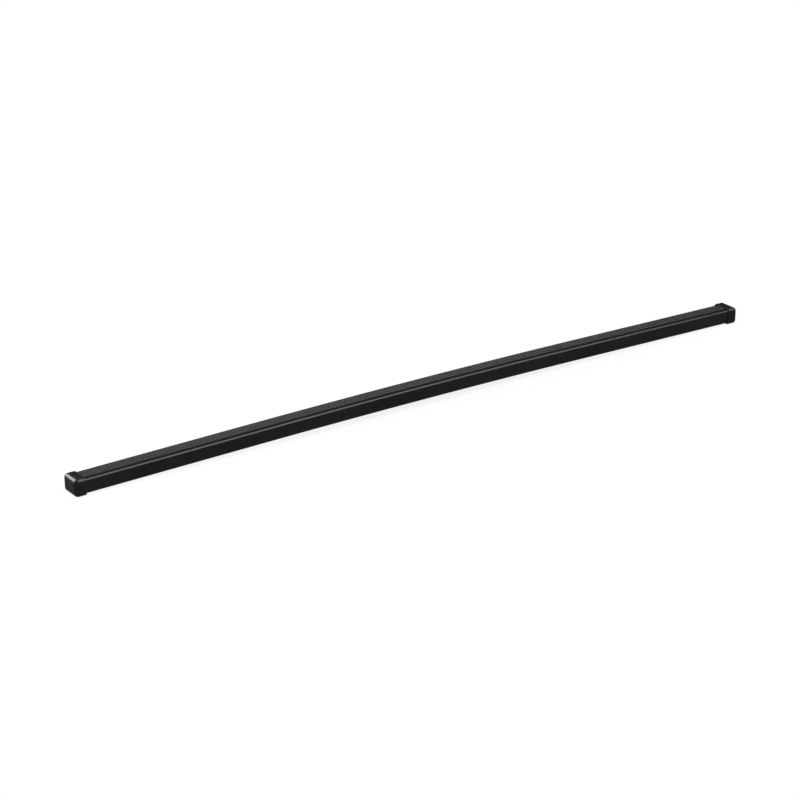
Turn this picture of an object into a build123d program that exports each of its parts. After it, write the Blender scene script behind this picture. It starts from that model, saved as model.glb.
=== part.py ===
"""Roof rack crossbar: a cambered rectangular steel tube in a ribbed plastic jacket, with moulded end caps.

Millimetres. X runs along the bar and Z is up. The origin is under the middle of the bar, on the
surface that the bar lies on: it rests on the lower edges of its two end caps.
"""

from build123d import *
from build123d import SkipClean

import os
from math import cos, radians, sin

# Bar: a bent middle between two straight arms, measured along its centre line
bar_length = 1180.0
bend_length = 580.0
arm_slope = 0.86  # degrees that each arm drops from the level

# Steel tube and the plastic jacket over it
tube_width = 30.0
tube_height = 20.0
tube_radius = 2.5
tube_wall = 1.5
jacket_thickness = 1.0

# Grip ribs along the top of the jacket, with straight sides and round crests
rib_count = 4
rib_pitch = 4.2
rib_width = 2.6
rib_height = 1.7

# End cap: a collar over the bar's end, closed by an end wall
collar_depth = 14.0
collar_wall = 2.2
collar_clearance = 0.15
end_wall = 3.3
cap_round = 5.8  # radius of the cap's long edges and of the edges round its end
rim_ease = 1.0

# Plug inside the cap, with fins that grip the tube's bore
plug_length = 32.0
plug_wall = 1.6
plug_lead = 5.0  # plain length at the plug's mouth, before its fins begin
fin_height = 0.5
fin_width = 1.4
fin_spacing = 14.0

# Sizes that follow from those above
body_width = tube_width + 2 * jacket_thickness
body_height = tube_height + 2 * jacket_thickness
body_radius = tube_radius + jacket_thickness
bore_width = tube_width - 2 * tube_wall
bore_height = tube_height - 2 * tube_wall
bore_radius = tube_radius - tube_wall
cap_width = body_width + 2 * collar_wall
cap_height = body_height + 2 * collar_wall
plug_width = bore_width - 2 * fin_height
plug_height = bore_height - 2 * fin_height

# Camber line, set so that the lowest point of the caps' rounded ends lies at Z = 0
slope = radians(arm_slope)
bend_radius = bend_length / 2 / slope
arm_length = (bar_length - bend_length) / 2
end_centre_height = (
    cap_round
    + (cap_height / 2 - cap_round) * cos(slope)
    - (cap_round - end_wall) * sin(slope)
)
bend_end_x = bend_radius * sin(slope)
bend_end_height = end_centre_height + arm_length * sin(slope)
bend_axis = Axis((0, 0, bend_end_height - bend_radius * cos(slope)), (0, -1, 0))


def arm_plane(side):
    """Plane square to one arm where it leaves the bend, facing outward: side is 1 at +X, -1 at -X."""
    return Plane(
        origin=(side * bend_end_x, 0, bend_end_height),
        x_dir=(0, side, 0),
        z_dir=(side * cos(slope), 0, -sin(slope)),
    )


os.makedirs("parts", exist_ok=True)

# Sections of the bar, drawn about its centre line with Y up
with BuildSketch() as tube_section:
    RectangleRounded(tube_width, tube_height, tube_radius)
    RectangleRounded(bore_width, bore_height, bore_radius, mode=Mode.SUBTRACT)

with BuildSketch() as plain_section:
    RectangleRounded(body_width, body_height, body_radius)
    RectangleRounded(tube_width, tube_height, tube_radius, mode=Mode.SUBTRACT)

with BuildSketch() as ribbed_section:
    RectangleRounded(body_width, body_height, body_radius)
    with Locations((0, body_height / 2)):
        with GridLocations(rib_pitch, 0, rib_count, 1):
            SlotOverall(2 * rib_height, rib_width, rotation=90)
    RectangleRounded(tube_width, tube_height, tube_radius, mode=Mode.SUBTRACT)

# Steel tube and jacket follow the same camber line. The ribs stop at the collar's rim, and each arm
# of the jacket keeps an edge there, so that the open flats, where feet clamp, are faces of their own
for label, spans in (
    ("steel_tube", ((tube_section, arm_length),)),
    ("ribbed_jacket", ((ribbed_section, arm_length - collar_depth), (plain_section, collar_depth))),
):
    with BuildPart() as bar:
        with BuildSketch(arm_plane(1)):
            add(spans[0][0].sketch)
        revolve(axis=bend_axis, revolution_arc=2 * arm_slope)
        with SkipClean():
            for side in (-1, 1):
                span_start = arm_plane(side)
                for section, span in spans:
                    with BuildSketch(span_start):
                        add(section.sketch)
                    extrude(amount=span)
                    span_start = span_start.offset(span)
    bar.part.label = label
    export_step(bar.part, f"parts/{label}.step")

# End caps: one moulding, fitted at both ends
for label, side in (("left_end_cap", -1), ("right_end_cap", 1)):
    bar_end = arm_plane(side).offset(arm_length)
    rim = bar_end.offset(-collar_depth)
    outward = Axis(bar_end.origin, bar_end.z_dir)
    with BuildPart() as cap:
        # Outer form with one radius round its long edges and its end, and an eased rim
        with BuildSketch(rim):
            Rectangle(cap_width, cap_height)
        extrude(amount=collar_depth + end_wall)
        long_edges = cap.edges().filter_by(outward)
        end_edges = cap.faces().sort_by(outward)[-1].edges()
        fillet(long_edges + end_edges, cap_round)
        chamfer(cap.faces().sort_by(outward)[0].edges(), rim_ease)
        # Socket for the bar
        with BuildSketch(rim):
            RectangleRounded(
                body_width + 2 * collar_clearance,
                body_height + 2 * collar_clearance,
                body_radius + collar_clearance,
            )
        extrude(amount=collar_depth, mode=Mode.SUBTRACT)
        # Hollow plug that enters the tube
        with BuildSketch(bar_end) as plug_section:
            Rectangle(plug_width, plug_height)
            chamfer(plug_section.vertices(), bore_radius)
            Rectangle(plug_width - 2 * plug_wall, plug_height - 2 * plug_wall, mode=Mode.SUBTRACT)
        extrude(amount=-plug_length)
        # Fins from the plug's four walls to the walls of the bore
        with BuildSketch(bar_end):
            with GridLocations(fin_spacing, plug_height + fin_height, 2, 2):
                Rectangle(fin_width, fin_height)
            with GridLocations(plug_width + fin_height, 0, 2, 1):
                Rectangle(fin_height, fin_width)
        extrude(amount=plug_lead - plug_length)
    cap.part.label = label
    export_step(cap.part, f"parts/{label}.step")
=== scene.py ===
"""Studio scene of a roof rack crossbar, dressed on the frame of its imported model.

Metres, with X along the bar and Z up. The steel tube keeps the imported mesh. The ribbed jacket and
the two end caps are finer meshes of the same form, in the same place.
"""

import logging
from dataclasses import dataclass
from enum import Enum
from math import copysign, cos, pi, radians, sin

import bmesh
import bpy
from bmesh.types import BMVert
from mathutils import Matrix, Quaternion, Vector


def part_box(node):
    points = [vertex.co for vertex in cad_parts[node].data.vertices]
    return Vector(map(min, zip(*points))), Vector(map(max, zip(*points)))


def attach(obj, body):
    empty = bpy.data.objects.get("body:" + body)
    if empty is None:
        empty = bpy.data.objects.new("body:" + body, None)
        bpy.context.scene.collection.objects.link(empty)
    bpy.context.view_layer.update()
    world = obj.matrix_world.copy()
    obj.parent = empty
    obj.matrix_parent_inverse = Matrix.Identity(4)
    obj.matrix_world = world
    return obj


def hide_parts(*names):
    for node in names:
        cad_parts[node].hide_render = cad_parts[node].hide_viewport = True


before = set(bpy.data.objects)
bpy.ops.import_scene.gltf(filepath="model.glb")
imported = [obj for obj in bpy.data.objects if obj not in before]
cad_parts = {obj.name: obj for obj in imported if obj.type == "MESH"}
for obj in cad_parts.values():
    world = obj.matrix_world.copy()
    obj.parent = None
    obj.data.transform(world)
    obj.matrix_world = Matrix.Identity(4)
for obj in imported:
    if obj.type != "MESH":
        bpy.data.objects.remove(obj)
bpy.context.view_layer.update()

MM = 0.001
BODY = "root"
SENSOR_WIDTH = 36.0  # millimetres
CREASE_ANGLE = radians(50)
WELD_DISTANCE = 0.0001 * MM
EVEN = (1.0, 1.0, 1.0)  # factors on the axes of a noise that isn't drawn out
NOISE_MIDDLE = (0.3, 0.7)  # levels that most of a noise lies between
FLAT_FACING = 0.999  # a face is flat if its normal lies this far along an axis
PAINTED_GLINT_FACING = 0.2  # a round gets the high shine of the painted highlight if it looks at least this far up, or in along the bar
POLISHED_FACING = (0.92, 0.99)  # a round is fully polished up to the first, and not at all from the second

log = logging.getLogger("crossbar")

Point = tuple[float, float, float]
Outline = list[tuple[float, float]]
Ring = list[BMVert]
Colour = tuple[float, float, float, float]
Socket = bpy.types.NodeSocket


class End(Enum):
    """End of the bar that a cap closes, valued by the sign of its X."""

    LEFT = -1
    RIGHT = 1


class Texture(Enum):
    """Surface that a tool leaves, valued by the factors on its noise's axes: under 1 draws it out."""

    DRAWN = (0.012, 1.0, 1.0)
    SPARKED = (1.0, 1.0, 1.0)


class Face(Enum):
    """Kind of face on a plastic piece, valued by its place among the piece's materials. The kinds are
    copies of one plastic that differ only in shine: painted shade and a painted highlight.
    """

    PAINTED_SHADE = 0
    PAINTED_GLINT = 1


def grey(level: float) -> Colour:
    """Opaque neutral colour of one linear level."""
    return (level, level, level, 1.0)


def arc(centre: tuple[float, float], radius: float, start: float, end: float, steps: int) -> Outline:
    """Points along an arc, with both of its ends.

    Args:
        centre: Middle of the arc's circle.
        radius: Radius of that circle.
        start: Angle of the first point, in radians.
        end: Angle of the last point, in radians.
        steps: Number of equal steps between them.

    Returns:
        The points, from the first to the last.
    """
    across, up = centre
    angles = [start + (end - start) * step / steps for step in range(steps + 1)]
    return [(across + radius * cos(angle), up + radius * sin(angle)) for angle in angles]


def rounded_corners(width: float, height: float, radius: float, steps: int) -> list[Outline]:
    """Corner arcs of a rounded rectangle about the origin, anticlockwise.

    Args:
        width: Overall width.
        height: Overall height.
        radius: Radius of the corners.
        steps: Number of steps in each corner.

    Returns:
        The arcs of the lower right, upper right, upper left and lower left corners.
    """
    corners = []
    for quarter, (across, up) in enumerate(((1, -1), (1, 1), (-1, 1), (-1, -1))):
        centre = (across * (width / 2 - radius), up * (height / 2 - radius))
        start = (quarter - 1) * pi / 2
        corners.append(arc(centre, radius, start, start + pi / 2, steps))
    return corners


def rounded_outline(width: float, height: float, radius: float, steps: int) -> Outline:
    """Outline of a rounded rectangle about the origin, as its corner arcs in one."""
    return sum(rounded_corners(width, height, radius, steps), [])


class Skin:
    """Closed skin of one piece, made of rings of points, walls between them and flat plates."""

    def __init__(self, name: str) -> None:
        """Start an empty skin for the piece of that name."""
        self.name = name
        self.mesh = bmesh.new()

    def ring(self, outline: Outline, place: Matrix) -> Ring:
        """Lay an outline, with its points given across and up, at a place square to the bar."""
        return [self.mesh.verts.new(place @ Vector((0, across, up))) for across, up in outline]

    def walls(self, rings: list[Ring]) -> None:
        """Join each ring to the next, point to point.

        Args:
            rings: Rings with the same number of points.
        """
        for first, second in zip(rings, rings[1:]):
            for here in range(len(first)):
                after = (here + 1) % len(first)
                self.mesh.faces.new((first[here], first[after], second[after], second[here]))

    def plate(self, *rings: Ring) -> None:
        """Fill the flat area inside one ring or between two.

        Args:
            rings: The ring or rings round the area. Points of theirs that lie on each other count once.
        """
        if len(rings) == 1:
            self.mesh.faces.new(rings[0])
            return
        edges = []
        for ring in rings:
            pairs = zip(ring[-1:] + ring, ring)
            apart = [point for before, point in pairs if (point.co - before.co).length > WELD_DISTANCE]
            for ends in zip(apart, apart[1:] + apart[:1]):
                edges.append(self.mesh.edges.get(ends) or self.mesh.edges.new(ends))
        bmesh.ops.triangle_fill(self.mesh, use_beauty=True, edges=edges)

    def close(self) -> bpy.types.Object:
        """Weld the skin, turn its faces outward and put it in the scene.

        Returns:
            The finished piece, shaded evenly across its flats and rounds.
        """
        bmesh.ops.remove_doubles(self.mesh, verts=self.mesh.verts, dist=WELD_DISTANCE)
        bmesh.ops.recalc_face_normals(self.mesh, faces=self.mesh.faces)
        data = bpy.data.meshes.new(self.name)
        self.mesh.to_mesh(data)
        self.mesh.free()
        data.shade_smooth()
        data.set_sharp_from_angle(angle=CREASE_ANGLE)
        piece = bpy.data.objects.new(self.name, data)
        bpy.context.scene.collection.objects.link(piece)
        shading = piece.modifiers.new("even_shading", "WEIGHTED_NORMAL")
        shading.keep_sharp = True
        return piece


class NodeSheet:
    """Node tree of one material or world, with short ways to fill it."""

    def __init__(self, owner: bpy.types.Material | bpy.types.World) -> None:
        """Switch the owner to nodes and clear its tree.

        Args:
            owner: Material or world that the tree belongs to.
        """
        owner.use_nodes = True
        self.tree = owner.node_tree
        self.tree.nodes.clear()

    def add(self, kind: str, settings: dict[str, object] | None = None, **inputs: object) -> bpy.types.Node:
        """Add one node.

        Args:
            kind: Blender's name for the node's type, without its ShaderNode prefix.
            settings: Properties of the node to set, if any.
            inputs: Values or output sockets for its inputs, with _ for a space in their names.

        Returns:
            The new node.
        """
        node = self.tree.nodes.new("ShaderNode" + kind)
        for name, value in (settings or {}).items():
            setattr(node, name, value)
        for name, value in inputs.items():
            socket = node.inputs[name.replace("_", " ")]
            if isinstance(value, Socket):
                self.tree.links.new(value, socket)
            else:
                socket.default_value = value
        return node

    def math(self, operation: str, first: Socket, second: Socket) -> Socket:
        """Join two values.

        Args:
            operation: Blender's name for what is done with them.
            first: First value.
            second: Second value.

        Returns:
            The result.
        """
        node = self.add("Math", {"operation": operation})
        self.tree.links.new(first, node.inputs[0])
        self.tree.links.new(second, node.inputs[1])
        return node.outputs["Value"]

    def flatness(self) -> Socket:
        """Tell the flats from the rounds between them.

        Returns:
            1 where the surface faces along an axis, and less where it turns away.
        """
        facing = self.add("TexCoord").outputs["Normal"]
        size = self.add("VectorMath", {"operation": "ABSOLUTE"}, Vector=facing)
        parts = self.add("SeparateXYZ", Vector=size.outputs["Vector"]).outputs
        return self.math("MAXIMUM", self.math("MAXIMUM", parts["X"], parts["Y"]), parts["Z"])

    def noise(self, where: Socket, stretch: Point, size: float, detail: float) -> Socket:
        """Add a noise of a given size.

        Args:
            where: Coordinates in metres.
            stretch: Factor on each axis, less than 1 to draw the noise out along it.
            size: Size of its main features, in metres.
            detail: Number of finer octaves.

        Returns:
            The noise's level, from 0 to 1.
        """
        drawn = self.add("Mapping", Vector=where, Scale=stretch)
        texture = self.add("TexNoise", Vector=drawn.outputs["Vector"], Scale=1 / size, Detail=detail)
        return texture.outputs["Fac"]

    def spread(self, level: Socket, low: float, high: float) -> Socket:
        """Spread the middle of a noise's levels over a range.

        Args:
            level: Noise to spread.
            low: Result for a low level.
            high: Result for a high level.

        Returns:
            The spread value.
        """
        first, last = NOISE_MIDDLE
        node = self.add("MapRange", Value=level, From_Min=first, From_Max=last, To_Min=low, To_Max=high)
        return node.outputs["Result"]

    def blend(self, level: Socket, low: Colour, high: Colour) -> Socket:
        """Blend two colours by a noise's level.

        Args:
            level: Noise that chooses between them.
            low: Colour for a low level.
            high: Colour for a high level.

        Returns:
            The blended colour.
        """
        node = self.add("ValToRGB", Fac=level)
        for stop, position, colour in zip(node.color_ramp.elements, NOISE_MIDDLE, (low, high)):
            stop.position = position
            stop.color = colour
        return node.outputs["Color"]

    def surface(self, shader: bpy.types.Node) -> None:
        """Send a shader to the owner's output."""
        kind = "OutputWorld" if shader.bl_idname == "ShaderNodeBackground" else "OutputMaterial"
        self.add(kind, Surface=shader.outputs[0])


@dataclass(frozen=True)
class PlasticFinish:
    """Black plastic with the texture of the tool that formed it.

    Attributes:
        name: First part of its materials' names.
        texture: Texture that the tool leaves.
        smooth: Roughness of its flats where they are smoothest.
        rough: Roughness of its flats where they are roughest.
        round_polish: Factor on the roughness of its rounds.
        grain_size: Size of the texture's grains, in metres.
        grain_depth: Depth of the grains, in metres.
        dark: Darker of the two colours that drift over it.
        pale: Paler of those colours.
        drift_size: Size of the slow drift in colour, in metres.
        ripple_size: Size of the shallow ripple in its flats, in metres.
        ripple_depth: Depth of that ripple, in metres.
        painted_shade_shine: Specular level of its flats and of the rounds that look down or out, kept low
            as painted shade so that they mirror little of the white floor.
        painted_glint_shine: Specular level of the rounds that look up or in towards the bar's middle,
            raised as a painted highlight where they mirror the lamps.
    """

    name: str
    texture: Texture
    smooth: float
    rough: float
    round_polish: float
    grain_size: float
    grain_depth: float
    dark: Colour = (0.0058, 0.0058, 0.0060, 1.0)
    pale: Colour = (0.0085, 0.0085, 0.0088, 1.0)
    drift_size: float = 60 * MM
    ripple_size: float = 25 * MM
    ripple_depth: float = 0.004 * MM
    painted_shade_shine: float = 0.05
    painted_glint_shine: float = 0.25

    def material(self, face: Face) -> bpy.types.Material:
        """Make the material of one kind of face.

        Args:
            face: Kind of face that it is for.

        Returns:
            A plastic whose colour, roughness and relief all come from noise.
        """
        made = bpy.data.materials.new(f"{self.name}_{face.name.lower()}")
        sheet = NodeSheet(made)
        where = sheet.add("TexCoord").outputs["Object"]
        drift = sheet.noise(where, EVEN, self.drift_size, detail=4.0)
        grain = sheet.noise(where, self.texture.value, self.grain_size, detail=2.0)
        ripple = sheet.noise(where, EVEN, self.ripple_size, detail=1.0)
        flats = sheet.add("Bump", Height=ripple, Strength=1.0, Distance=self.ripple_depth)
        relief = sheet.add(
            "Bump", Height=grain, Strength=1.0, Distance=self.grain_depth, Normal=flats.outputs["Normal"]
        )
        polish = sheet.add(
            "MapRange",
            Value=sheet.flatness(),
            From_Min=POLISHED_FACING[0],
            From_Max=POLISHED_FACING[1],
            To_Min=self.round_polish,
            To_Max=1.0,
        )
        roughness = sheet.spread(grain, self.smooth, self.rough)
        plastic = sheet.add(
            "BsdfPrincipled",
            Base_Color=sheet.blend(drift, self.dark, self.pale),
            Roughness=sheet.math("MULTIPLY", roughness, polish.outputs["Result"]),
            # Painted light: this shine is all that tells the two copies apart, low for painted shade and
            # high for a painted highlight.
            Specular_IOR_Level=self.painted_shade_shine if face is Face.PAINTED_SHADE else self.painted_glint_shine,
            Normal=relief.outputs["Normal"],
        )
        sheet.surface(plastic)
        return made

    def dress(self, piece: bpy.types.Object) -> None:
        """Give a piece this plastic, with the high shine of a painted highlight on the rounds that look up
        or in towards the bar's middle, and the low shine of painted shade on the rest.

        Args:
            piece: Piece to dress.
        """
        for face in Face:
            piece.data.materials.append(self.material(face))
        for polygon in piece.data.polygons:
            flat = max(abs(part) for part in polygon.normal) > FLAT_FACING
            inward = -polygon.normal.x * copysign(1, polygon.center.x)
            # Painted highlight on the rounds that look up or inward, painted shade on the flats and the
            # other rounds.
            glinting = not flat and max(polygon.normal.z, inward) > PAINTED_GLINT_FACING
            polygon.material_index = (Face.PAINTED_GLINT if glinting else Face.PAINTED_SHADE).value


@dataclass(frozen=True)
class SteelFinish:
    """Bare drawn steel with fine lines along the tube.

    Attributes:
        name: Name of the material.
        dark: Colour in the lines.
        pale: Colour between them.
        smooth: Roughness between the lines.
        rough: Roughness in the lines.
        line_width: Width of a line, in metres.
        line_depth: Depth of a line, in metres.
    """

    name: str = "drawn_steel"
    dark: Colour = (0.40, 0.41, 0.42, 1.0)
    pale: Colour = (0.56, 0.57, 0.58, 1.0)
    smooth: float = 0.28
    rough: float = 0.46
    line_width: float = 0.4 * MM
    line_depth: float = 0.004 * MM

    def material(self) -> bpy.types.Material:
        """Make the material.

        Returns:
            A metal whose lines run along X.
        """
        made = bpy.data.materials.new(self.name)
        sheet = NodeSheet(made)
        where = sheet.add("TexCoord").outputs["Object"]
        lines = sheet.noise(where, Texture.DRAWN.value, self.line_width, detail=3.0)
        relief = sheet.add("Bump", Height=lines, Strength=1.0, Distance=self.line_depth)
        steel = sheet.add(
            "BsdfPrincipled",
            Base_Color=sheet.blend(lines, self.dark, self.pale),
            Metallic=1.0,
            Roughness=sheet.spread(lines, self.rough, self.smooth),
            Normal=relief.outputs["Normal"],
        )
        sheet.surface(steel)
        return made


@dataclass(frozen=True)
class CamberLine:
    """Centre line of the bar: a bent middle, tangent to two straight arms that slope down.

    Attributes:
        end_height: Height of the line at the bar's ends.
        bar_length: Length of the bar along the line.
        bend_length: Length of the bent middle along the line.
        arm_slope: Angle that each arm drops from the level.
    """

    end_height: float
    bar_length: float = 1180 * MM
    bend_length: float = 580 * MM
    arm_slope: float = radians(0.86)

    def place(self, along: float) -> Matrix:
        """Find where a section of the bar lies.

        Args:
            along: Distance along the line from the middle of the bar, towards +X.

        Returns:
            Matrix from the section's own axes, X along the line and Z up, to the bar's.
        """
        half_bend = self.bend_length / 2
        radius = half_bend / self.arm_slope
        arm = self.bar_length / 2 - half_bend
        drop = radius * (1 - cos(self.arm_slope)) + arm * sin(self.arm_slope)
        bent = min(abs(along), half_bend)
        straight = abs(along) - bent
        turn = bent / radius
        x = radius * sin(turn) + straight * cos(turn)
        z = self.end_height + drop - radius * (1 - cos(turn)) - straight * sin(turn)
        side = copysign(1, along)
        return Matrix.Translation((side * x, 0, z)) @ Matrix.Rotation(side * turn, 4, "Y")


@dataclass
class SteelTube:
    """Rectangular steel tube that carries the load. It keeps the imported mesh.

    Attributes:
        finish: Finish of the steel.
        node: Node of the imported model.
        height: Overall height of the tube.
    """

    finish: SteelFinish
    node: str = "steel_tube"
    height: float = 20 * MM

    def camber_line(self) -> CamberLine:
        """Read the bar's centre line, the middle of the tube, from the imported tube's lowest edge."""
        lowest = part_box(self.node)[0].z
        return CamberLine(end_height=lowest + self.height / 2 * cos(CamberLine.arm_slope))

    def dress(self) -> None:
        """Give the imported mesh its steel."""
        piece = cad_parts[self.node]
        piece.material_slots[0].material = self.finish.material()
        report(piece)


@dataclass
class RibbedJacket:
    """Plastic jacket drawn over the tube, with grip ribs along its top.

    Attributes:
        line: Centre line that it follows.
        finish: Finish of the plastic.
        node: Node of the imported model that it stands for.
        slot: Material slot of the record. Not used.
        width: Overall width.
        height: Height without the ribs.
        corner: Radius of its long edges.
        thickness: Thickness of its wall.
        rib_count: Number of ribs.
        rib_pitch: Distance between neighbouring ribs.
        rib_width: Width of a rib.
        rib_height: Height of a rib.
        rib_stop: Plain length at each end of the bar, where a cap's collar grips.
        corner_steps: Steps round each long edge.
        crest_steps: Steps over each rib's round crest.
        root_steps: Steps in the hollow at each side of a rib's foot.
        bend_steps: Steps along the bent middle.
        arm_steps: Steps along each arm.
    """

    line: CamberLine
    finish: PlasticFinish
    node: str = "ribbed_jacket"
    slot: str = "jacket_plastic"
    width: float = 32 * MM
    height: float = 22 * MM
    corner: float = 3.5 * MM
    thickness: float = 1.0 * MM
    rib_count: int = 4
    rib_pitch: float = 4.2 * MM
    rib_width: float = 2.6 * MM
    rib_height: float = 1.7 * MM
    rib_stop: float = 14 * MM
    corner_steps: int = 12
    crest_steps: int = 16
    root_steps: int = 4
    bend_steps: int = 48
    arm_steps: int = 8

    def rib(self, middle: float) -> Outline:
        """Outline of one rib, from its right foot over its crest to its left foot.

        Args:
            middle: Place of the rib's middle across the bar.

        Returns:
            Points that leave the flat and come back to it without a crease.
        """
        half = self.rib_width / 2
        root = self.rib_height - half
        level = self.height / 2 + root
        right_root = arc((middle + half + root, level), root, 1.5 * pi, pi, self.root_steps)
        crest = arc((middle, level), half, 0, pi, self.crest_steps)
        left_root = arc((middle - half - root, level), root, 0, -pi / 2, self.root_steps)
        return right_root + crest[1:-1] + left_root

    def outline(self) -> Outline:
        """Outer outline of the section, anticlockwise.

        Returns:
            Points of the four long edges and the ribs.
        """
        lower_right, upper_right, upper_left, lower_left = rounded_corners(
            self.width, self.height, self.corner, self.corner_steps
        )
        ribs: Outline = []
        for number in range(self.rib_count):
            ribs += self.rib(((self.rib_count - 1) / 2 - number) * self.rib_pitch)
        return lower_right + upper_right + ribs + upper_left + lower_left

    def bore(self) -> Outline:
        """Inner outline of the section, where it grips the tube."""
        width, height = self.width - 2 * self.thickness, self.height - 2 * self.thickness
        return rounded_outline(width, height, self.corner - self.thickness, self.corner_steps // 2)

    def plain_outline(self) -> Outline:
        """Outer outline where the ribs have stopped, with its points in the same number and order."""
        return [(across, min(up, self.height / 2)) for across, up in self.outline()]

    def stations(self) -> list[float]:
        """Choose the sections that have ribs.

        Returns:
            Their distances along the camber line, from left to right.
        """
        bend = self.line.bend_length
        half_bend = bend / 2
        reach = self.line.bar_length / 2 - self.rib_stop
        arm = reach - half_bend
        distances = [-reach + arm * step / self.arm_steps for step in range(self.arm_steps)]
        distances += [-half_bend + bend * step / self.bend_steps for step in range(self.bend_steps)]
        distances += [half_bend + arm * step / self.arm_steps for step in range(self.arm_steps + 1)]
        return distances

    def build(self) -> bpy.types.Object:
        """Draw the section along the camber line, with ribs between the caps' collars.

        Returns:
            The jacket's piece.
        """
        skin = Skin("jacket_skin")
        half_bar = self.line.bar_length / 2
        stations = self.stations()
        plain = self.plain_outline()
        sections = [(-half_bar, plain), (stations[0], plain)]
        sections += [(distance, self.outline()) for distance in stations]
        sections += [(stations[-1], plain), (half_bar, plain)]
        outside = [skin.ring(outline, self.line.place(distance)) for distance, outline in sections]
        lengths = (-half_bar, *stations, half_bar)
        inside = [skin.ring(self.bore(), self.line.place(distance)) for distance in lengths]
        skin.walls(outside)
        skin.walls(inside)
        for end in (0, -1):
            skin.plate(outside[end], inside[end])
        return skin.close()

    def dress(self) -> None:
        """Build the jacket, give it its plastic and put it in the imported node's stead."""
        piece = self.build()
        settle(piece, self.finish, self.node)


@dataclass
class EndCap:
    """Moulded cap: a collar over the bar's end, an end wall and a finned plug in the tube.

    Attributes:
        end: End of the bar that it closes.
        line: Centre line of the bar.
        finish: Finish of the plastic.
        slot: Material slot of the record. Not used.
        width: Overall width.
        height: Overall height.
        edge_round: Radius of its long edges and of the edges round its end.
        collar_depth: Length of the collar over the bar.
        end_wall: Thickness of the end wall.
        rim_ease: Radius round the collar's open rim.
        socket_width: Width of the socket.
        socket_height: Height of the socket.
        socket_corner: Radius of the socket's long edges.
        plug_width: Width of the plug between its fins.
        plug_height: Height of the plug between its fins.
        plug_length: Length of the plug.
        plug_wall: Thickness of the plug's wall.
        plug_bevel: Bevel of the plug's long edges.
        plug_lead: Plain length at the plug's mouth.
        fin_height: Height of a fin.
        fin_width: Width of a fin.
        fin_spacing: Distance between the fins on the plug's top and underside.
        fin_ramp: Length of the ramp at a fin's end.
        corner_steps: Steps round each long edge.
        round_steps: Steps round the end wall.
        ease_steps: Steps round the rim.
    """

    end: End
    line: CamberLine
    finish: PlasticFinish
    slot: str = "cap_plastic"
    width: float = 36.4 * MM
    height: float = 26.4 * MM
    edge_round: float = 5.8 * MM
    collar_depth: float = 14 * MM
    end_wall: float = 3.3 * MM
    rim_ease: float = 1.0 * MM
    socket_width: float = 32.3 * MM
    socket_height: float = 22.3 * MM
    socket_corner: float = 3.65 * MM
    plug_width: float = 26 * MM
    plug_height: float = 16 * MM
    plug_length: float = 32 * MM
    plug_wall: float = 1.6 * MM
    plug_bevel: float = 1.0 * MM
    plug_lead: float = 5.0 * MM
    fin_height: float = 0.5 * MM
    fin_width: float = 1.4 * MM
    fin_spacing: float = 14 * MM
    fin_ramp: float = 1.0 * MM
    corner_steps: int = 14
    round_steps: int = 12
    ease_steps: int = 6

    @property
    def label(self) -> str:
        """Name of the end, in small letters."""
        return self.end.name.lower()

    def place(self, outward: float) -> Matrix:
        """Find a plane square to the bar near its end.

        Args:
            outward: Distance of the plane beyond the bar's end.

        Returns:
            Matrix from the plane's own axes, X outward, to the bar's.
        """
        at_end = self.line.place(self.end.value * self.line.bar_length / 2)
        facing = Matrix.Rotation(pi if self.end is End.LEFT else 0.0, 4, "Z")
        return at_end @ facing @ Matrix.Translation((outward, 0, 0))

    def shell(self, inset: float) -> Outline:
        """Outer outline of the cap, drawn in by an inset."""
        width, height = self.width - 2 * inset, self.height - 2 * inset
        return rounded_outline(width, height, self.edge_round - inset, self.corner_steps)

    def socket(self) -> Outline:
        """Outline of the socket, which clears the bar all round."""
        steps = self.corner_steps // 2
        return rounded_outline(self.socket_width, self.socket_height, self.socket_corner, steps)

    def plug(self, fin_height: float) -> Outline:
        """Outline of the plug with its fins at a given height.

        Args:
            fin_height: Height of the fins, or 0 for none.

        Returns:
            Points in the same number and order for any height.
        """
        outline: Outline = []
        reach = (self.plug_width / 2, self.plug_height / 2)
        for quarter in range(4):
            turn = Matrix.Rotation(quarter * pi / 2, 2)
            across, out = (reach[1], reach[0]) if quarter % 2 == 0 else reach
            middles = (0.0,) if quarter % 2 == 0 else (-self.fin_spacing / 2, self.fin_spacing / 2)
            side = [(out, self.plug_bevel - across)]
            for middle in middles:
                low, high = middle - self.fin_width / 2, middle + self.fin_width / 2
                side += [(out, low), (out + fin_height, low), (out + fin_height, high), (out, high)]
            side.append((out, across - self.plug_bevel))
            outline += [tuple(turn @ Vector(point)) for point in side]
        return outline

    def hollow(self) -> Outline:
        """Outline of the plug's hollow.

        Returns:
            Its four corners, anticlockwise.
        """
        across = self.plug_width / 2 - self.plug_wall
        up = self.plug_height / 2 - self.plug_wall
        return [(across, -up), (across, up), (-across, up), (-across, -up)]

    def shell_rings(self, skin: Skin) -> list[Ring]:
        """Rings of the outer shell, from its rim to the edge of its end face.

        Args:
            skin: Skin that takes the rings.

        Returns:
            The rings, in order.
        """
        rings = []
        for step in range(self.ease_steps + 1):
            turn = step / self.ease_steps * pi / 2
            outward = self.rim_ease * (1 - cos(turn)) - self.collar_depth
            rings.append(skin.ring(self.shell(self.rim_ease * (1 - sin(turn))), self.place(outward)))
        for step in range(self.round_steps + 1):
            turn = step / self.round_steps * pi / 2
            outward = self.end_wall - self.edge_round * (1 - sin(turn))
            rings.append(skin.ring(self.shell(self.edge_round * (1 - cos(turn))), self.place(outward)))
        return rings

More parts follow.
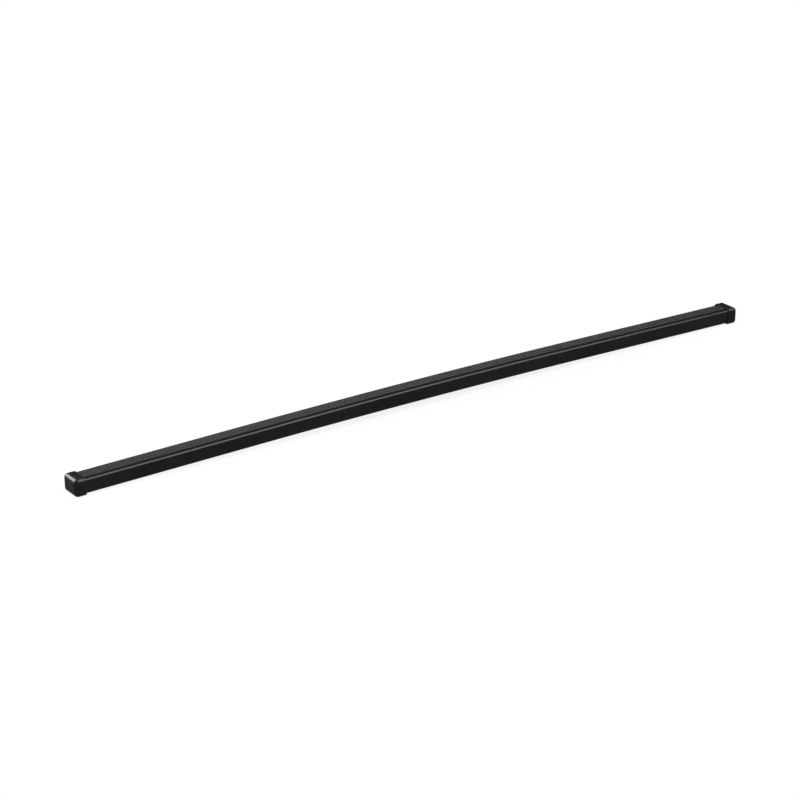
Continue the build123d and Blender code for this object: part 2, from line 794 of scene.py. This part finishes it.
    def build(self) -> bpy.types.Object:
        """Make the shell, the socket and the plug as one closed skin.

        Returns:
            The cap's piece.
        """
        skin = Skin(f"{self.label}_cap_moulding")
        bar_end = self.place(0)
        fin_end = self.plug_lead - self.plug_length
        shell = self.shell_rings(skin)
        socket = [skin.ring(self.socket(), place) for place in (self.place(-self.collar_depth), bar_end)]
        plug = [
            skin.ring(self.plug(self.fin_height), bar_end),
            skin.ring(self.plug(self.fin_height), self.place(fin_end)),
            skin.ring(self.plug(0), self.place(fin_end - self.fin_ramp)),
            skin.ring(self.plug(0), self.place(-self.plug_length)),
        ]
        hollow = [skin.ring(self.hollow(), place) for place in (self.place(-self.plug_length), bar_end)]
        for rings in (shell, socket, plug, hollow):
            skin.walls(rings)
        skin.plate(shell[-1])
        skin.plate(shell[0], socket[0])
        skin.plate(socket[-1], plug[0])
        skin.plate(plug[-1], hollow[0])
        skin.plate(hollow[-1])
        return skin.close()

    def dress(self) -> None:
        """Build the cap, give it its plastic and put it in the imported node's stead."""
        piece = self.build()
        settle(piece, self.finish, f"{self.label}_end_cap")


@dataclass(frozen=True)
class Softbox:
    """Rectangular lamp of the studio.

    Attributes:
        name: Name of the lamp.
        centre: Place of its middle.
        aim: Point that it faces.
        length: Length of the side that lies level without a roll.
        depth: Length of its other side.
        glow: Radiance of its face.
        roll: Turn of that level side, anticlockwise as seen from behind the lamp.
    """

    name: str
    centre: Point
    aim: Point
    length: float
    depth: float
    glow: float
    roll: float = 0.0

    def place(self) -> None:
        """Hang the lamp."""
        data = bpy.data.lights.new(self.name, "AREA")
        data.shape = "RECTANGLE"
        data.size = self.length
        data.size_y = self.depth
        data.energy = self.glow * pi * self.length * self.depth
        lamp = bpy.data.objects.new(self.name, data)
        lamp.location = self.centre
        lamp.rotation_mode = "QUATERNION"
        facing = (Vector(self.aim) - Vector(self.centre)).to_track_quat("-Z", "Y")
        lamp.rotation_quaternion = facing @ Quaternion((0, 0, 1), self.roll)
        lamp.visible_camera = False
        bpy.context.scene.collection.objects.link(lamp)


@dataclass
class Studio:
    """Pale floor, soft lamps and a pale surround.

    Attributes:
        softboxes: Lamps to hang.
        floor_span: Side of the square floor.
        floor_level: Reflectance of the floor.
        floor_glow: Share of the floor's white that doesn't take shadow, close to the bar.
        shadow_reach: Distance across the bar where the floor is white without shadow.
        shadow_stretch: Factor on distance along the bar.
        haze_top: Sine of the elevation where the surround begins to darken.
        dusk_base: Sine of the elevation where it has darkened.
        dusk_left: Level of the surround above that, on the left and at the back.
        dusk_right: Level of the surround above that, on the right.
        dusk_turn: Sines of the turn towards +X between which the one becomes the other.
    """

    softboxes: tuple[Softbox, ...]
    floor_span: float = 60.0
    floor_level: float = 0.95
    floor_glow: float = 0.85
    shadow_reach: float = 0.7
    shadow_stretch: float = 0.4
    haze_top: float = 0.10
    dusk_base: float = 0.26
    dusk_left: float = 0.27
    dusk_right: float = 0.15
    dusk_turn: tuple[float, float] = (0.41, 0.55)

    def lay_floor(self) -> None:
        """Lay the floor under the bar."""
        skin = bmesh.new()
        bmesh.ops.create_grid(skin, x_segments=1, y_segments=1, size=self.floor_span / 2)
        data = bpy.data.meshes.new("studio_floor")
        skin.to_mesh(data)
        skin.free()
        floor = bpy.data.objects.new("studio_floor", data)
        bpy.context.scene.collection.objects.link(floor)
        data.materials.append(self.floor_material())

    def floor_material(self) -> bpy.types.Material:
        """Make the floor's white.

        Returns:
            A matt white that is lit by the lamps and partly bright by itself where it is looked at.
        """
        made = bpy.data.materials.new("white_floor")
        sheet = NodeSheet(made)
        path = sheet.add("LightPath").outputs
        seen = path["Is Camera Ray"]
        for kind in ("Is Glossy Ray", "Is Transmission Ray"):
            seen = sheet.math("MAXIMUM", seen, path[kind])
        where = sheet.add("TexCoord").outputs["Object"]
        nearness = sheet.add("Mapping", Vector=where, Scale=(self.shadow_stretch, 1.0, 1.0))
        distance = sheet.add("VectorMath", {"operation": "LENGTH"}, Vector=nearness.outputs["Vector"])
        away = distance.outputs["Value"]
        glow = sheet.add("MapRange", Value=away, From_Max=self.shadow_reach, To_Min=self.floor_glow)
        share = sheet.math("MULTIPLY", seen, glow.outputs["Result"])
        matt = sheet.add("BsdfDiffuse", Color=grey(self.floor_level))
        white = sheet.add("Emission", Color=grey(1.0), Strength=1.0)
        mixed = sheet.add("MixShader", Fac=share)
        sheet.tree.links.new(matt.outputs[0], mixed.inputs[1])
        sheet.tree.links.new(white.outputs[0], mixed.inputs[2])
        sheet.surface(mixed)
        return made

    def light_surround(self) -> None:
        """Light the surround: white at the horizon and dim above it, the more so on the right."""
        world = bpy.data.worlds.new("studio_surround")
        bpy.context.scene.world = world
        sheet = NodeSheet(world)
        direction = sheet.add("TexCoord").outputs["Generated"]
        parts = sheet.add("SeparateXYZ", Vector=direction).outputs
        dusk = sheet.add(
            "MapRange",
            {"interpolation_type": "SMOOTHSTEP"},
            Value=parts["X"],
            From_Min=self.dusk_turn[0],
            From_Max=self.dusk_turn[1],
            To_Min=self.dusk_left,
            To_Max=self.dusk_right,
        )
        level = sheet.add(
            "MapRange",
            {"interpolation_type": "SMOOTHSTEP"},
            Value=parts["Z"],
            From_Min=self.haze_top,
            From_Max=self.dusk_base,
            To_Min=1.0,
            To_Max=dusk.outputs["Result"],
        )
        sheet.surface(sheet.add("Background", Color=grey(1.0), Strength=level.outputs["Result"]))

    def set_up(self) -> None:
        """Set up the floor, the surround and the lamps."""
        self.lay_floor()
        self.light_surround()
        for softbox in self.softboxes:
            softbox.place()


@dataclass
class PhotoCamera:
    """Camera that sees the bar as the photograph does.

    Attributes:
        target: Point on the floor in the middle of the picture.
        azimuth: Turn round Z, from looking along +Y.
        elevation: Height of the view above the horizon.
        distance: Distance from the target.
        lens: Focal length in millimetres, for a sensor 36 mm wide.
    """

    target: Point = (-0.0307, 0.0223, 0.0002)
    azimuth: float = radians(-34.682)
    elevation: float = radians(22.381)
    distance: float = 3.9319
    lens: float = 119.52

    def set_up(self) -> None:
        """Place the camera and make it the scene's own."""
        back = Vector((
            sin(self.azimuth) * cos(self.elevation),
            -cos(self.azimuth) * cos(self.elevation),
            sin(self.elevation),
        ))
        data = bpy.data.cameras.new("photo_camera")
        data.sensor_width = SENSOR_WIDTH
        data.lens = self.lens
        camera = bpy.data.objects.new("photo_camera", data)
        camera.location = Vector(self.target) + back * self.distance
        camera.rotation_mode = "QUATERNION"
        camera.rotation_quaternion = (-back).to_track_quat("-Z", "Y")
        bpy.context.scene.collection.objects.link(camera)
        bpy.context.scene.camera = camera


def report(piece: bpy.types.Object) -> None:
    """Report one finished piece."""
    materials = ", ".join(slot.material.name for slot in piece.material_slots)
    log.info("%s: %d faces, %s", piece.name, len(piece.data.polygons), materials)


def settle(piece: bpy.types.Object, finish: PlasticFinish, node: str) -> None:
    """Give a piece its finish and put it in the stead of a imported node.

    Args:
        piece: Piece to settle.
        finish: Finish that it takes.
        node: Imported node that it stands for.
    """
    finish.dress(piece)
    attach(piece, BODY)
    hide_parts(node)
    report(piece)


def softboxes() -> tuple[Softbox, ...]:
    """Choose the lamps.

    Returns:
        Two overhead lamps side by side, far to the right, which the bar's upper near edge mirrors, and two
        small ones by the left cap, which its end edge and its corner mirror.
    """
    left_cap = (-0.59, 0.0, 0.02)
    return (
        Softbox(
            "overhead_left_softbox",
            centre=(4.00, -3.70, 8.50),
            aim=(4.00, 0.0, 0.0),
            length=2.6,
            depth=10.5,
            glow=7.0,
        ),
        Softbox(
            "overhead_right_softbox",
            centre=(7.05, -3.70, 8.50),
            aim=(7.05, 0.0, 0.0),
            length=3.5,
            depth=10.5,
            glow=6.0,
        ),
        Softbox(
            "back_left_softbox",
            centre=(-0.95, 0.90, 0.54),
            aim=left_cap,
            length=0.85,
            depth=0.3,
            glow=13.0,
            roll=radians(-45),
        ),
        Softbox(
            "left_softbox",
            centre=(-0.90, -0.19, 0.90),
            aim=left_cap,
            length=0.75,
            depth=0.25,
            glow=5.0,
            roll=radians(16),
        ),
    )


def main() -> None:
    """Build the bar, light it and place the camera."""
    logging.basicConfig(level=logging.INFO, format="%(name)s: %(message)s", force=True)
    jacket_plastic = PlasticFinish(
        name="drawn_black_plastic",
        texture=Texture.DRAWN,
        smooth=0.27,
        rough=0.32,
        round_polish=0.75,
        grain_size=0.5 * MM,
        grain_depth=0.0015 * MM,
    )
    cap_plastic = PlasticFinish(
        name="moulded_black_plastic",
        texture=Texture.SPARKED,
        smooth=0.50,
        rough=0.62,
        round_polish=0.42,
        grain_size=0.7 * MM,
        grain_depth=0.006 * MM,
    )
    tube = SteelTube(SteelFinish())
    line = tube.camber_line()
    tube.dress()
    RibbedJacket(line, jacket_plastic).dress()
    for end in End:
        EndCap(end, line, cap_plastic).dress()
    Studio(softboxes()).set_up()
    PhotoCamera().set_up()
    bpy.context.scene.view_settings.view_transform = "Standard"


if __name__ == "__main__":
    main()
